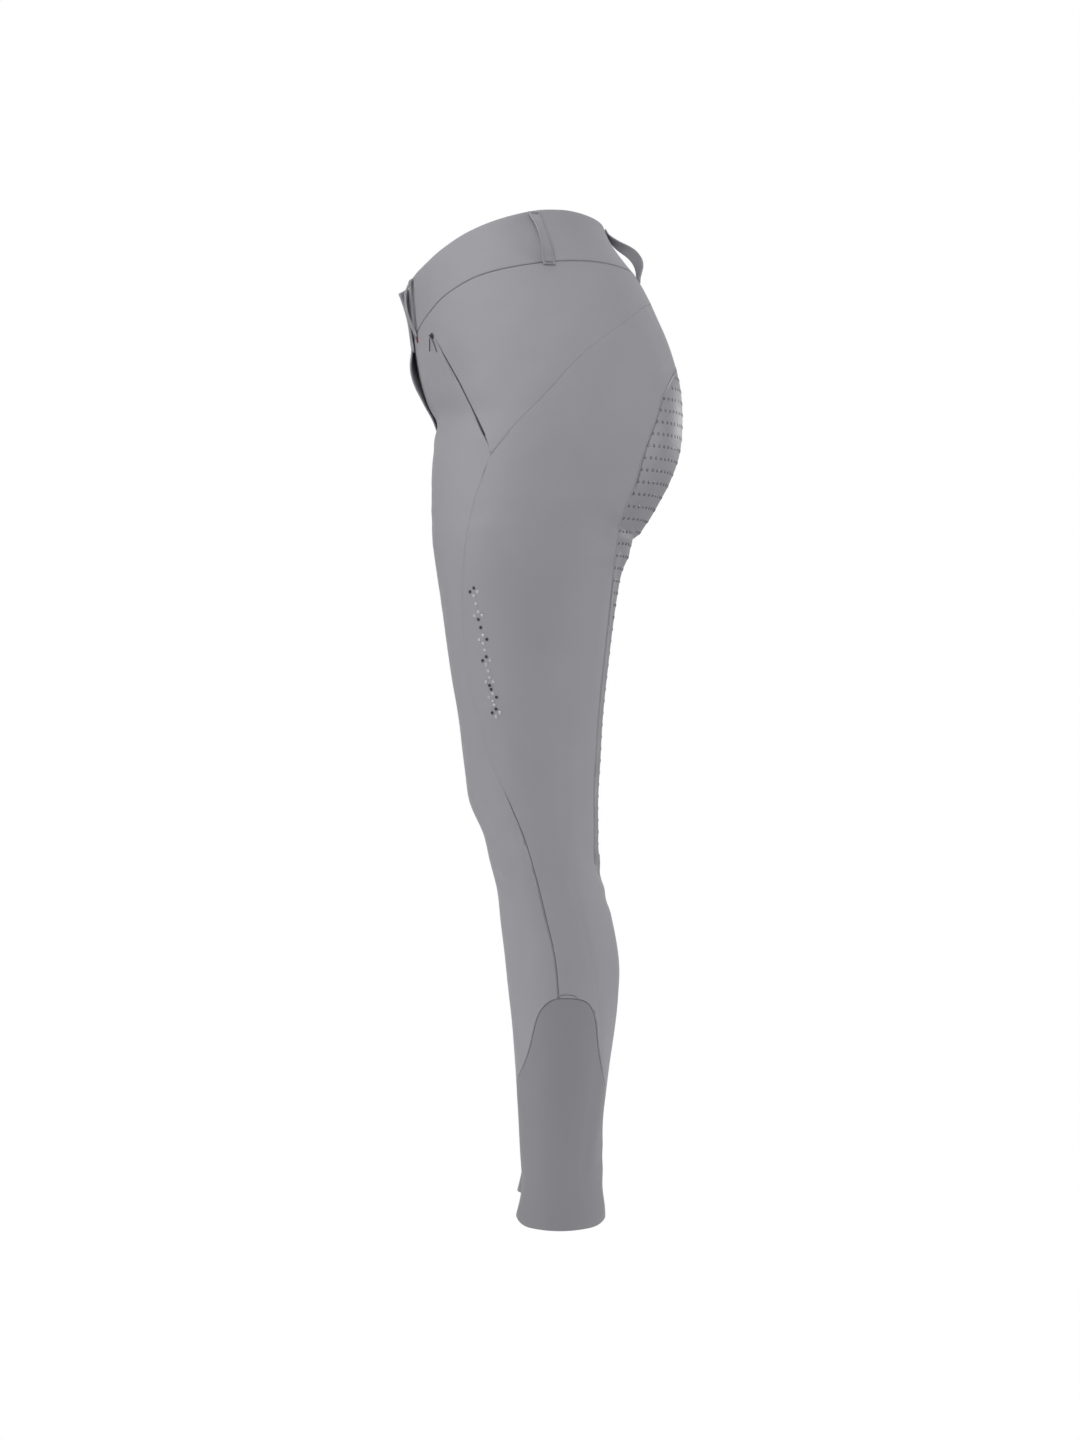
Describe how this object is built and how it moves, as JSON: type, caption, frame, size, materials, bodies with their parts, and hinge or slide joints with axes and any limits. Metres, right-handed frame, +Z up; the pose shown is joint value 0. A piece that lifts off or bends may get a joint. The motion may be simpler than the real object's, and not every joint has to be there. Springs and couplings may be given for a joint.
{
  "type": "riding breeches",
  "caption": "Full-seat riding breeches in worn hollow form: lapped waistband with belt loops, slanted zip pockets, grip on seat and inner thigh, arched stretch cuffs.",
  "frame": {"origin": "middle of the waist opening, half way up the waistband, where the wearer's waist carries the garment", "axes": "+Z up, the front of the garment faces -Y, the wearer's left is +X"},
  "size_m": [0.358, 0.2733, 0.961],
  "materials": {
    "stretch_cloth": "smooth matte technical stretch cloth, mid grey",
    "cuff_knit": "thin fine-gauge stretch knit, darker grey",
    "grip_silicone": "thin printed silicone with raised dots, semi-gloss, on the grey cloth",
    "zip_tape": "woven zip tape with fine coil teeth, dark grey",
    "slider_enamel": "satin dark enamel",
    "pull_cord": "soft thin dark cord",
    "plain_tab": "plain dark red woven tape",
    "crystal": "small foiled cut glass stones, clear and smoke dark"
  },
  "bodies": {
    "root": {"waistband": "stretch_cloth", "front_panel_L": "stretch_cloth", "front_panel_R": "stretch_cloth", "back_panel_L": "stretch_cloth", "back_panel_R": "stretch_cloth", "fly_flap": "stretch_cloth", "belt_loop_front_L": "stretch_cloth", "belt_loop_front_R": "stretch_cloth", "belt_loop_side_L": "stretch_cloth", "belt_loop_side_R": "stretch_cloth", "belt_loop_back": "stretch_cloth", "cuff_L": "cuff_knit", "cuff_R": "cuff_knit", "seat_grip_L": "grip_silicone", "seat_grip_R": "grip_silicone", "fly_zip": "zip_tape", "pocket_zip_L": "zip_tape", "pocket_zip_R": "zip_tape", "pocket_slider_L": "slider_enamel", "pocket_slider_R": "slider_enamel", "pocket_pull_L": "pull_cord", "pocket_pull_R": "pull_cord", "front_tab": "plain_tab"}
  },
  "joints": []
}
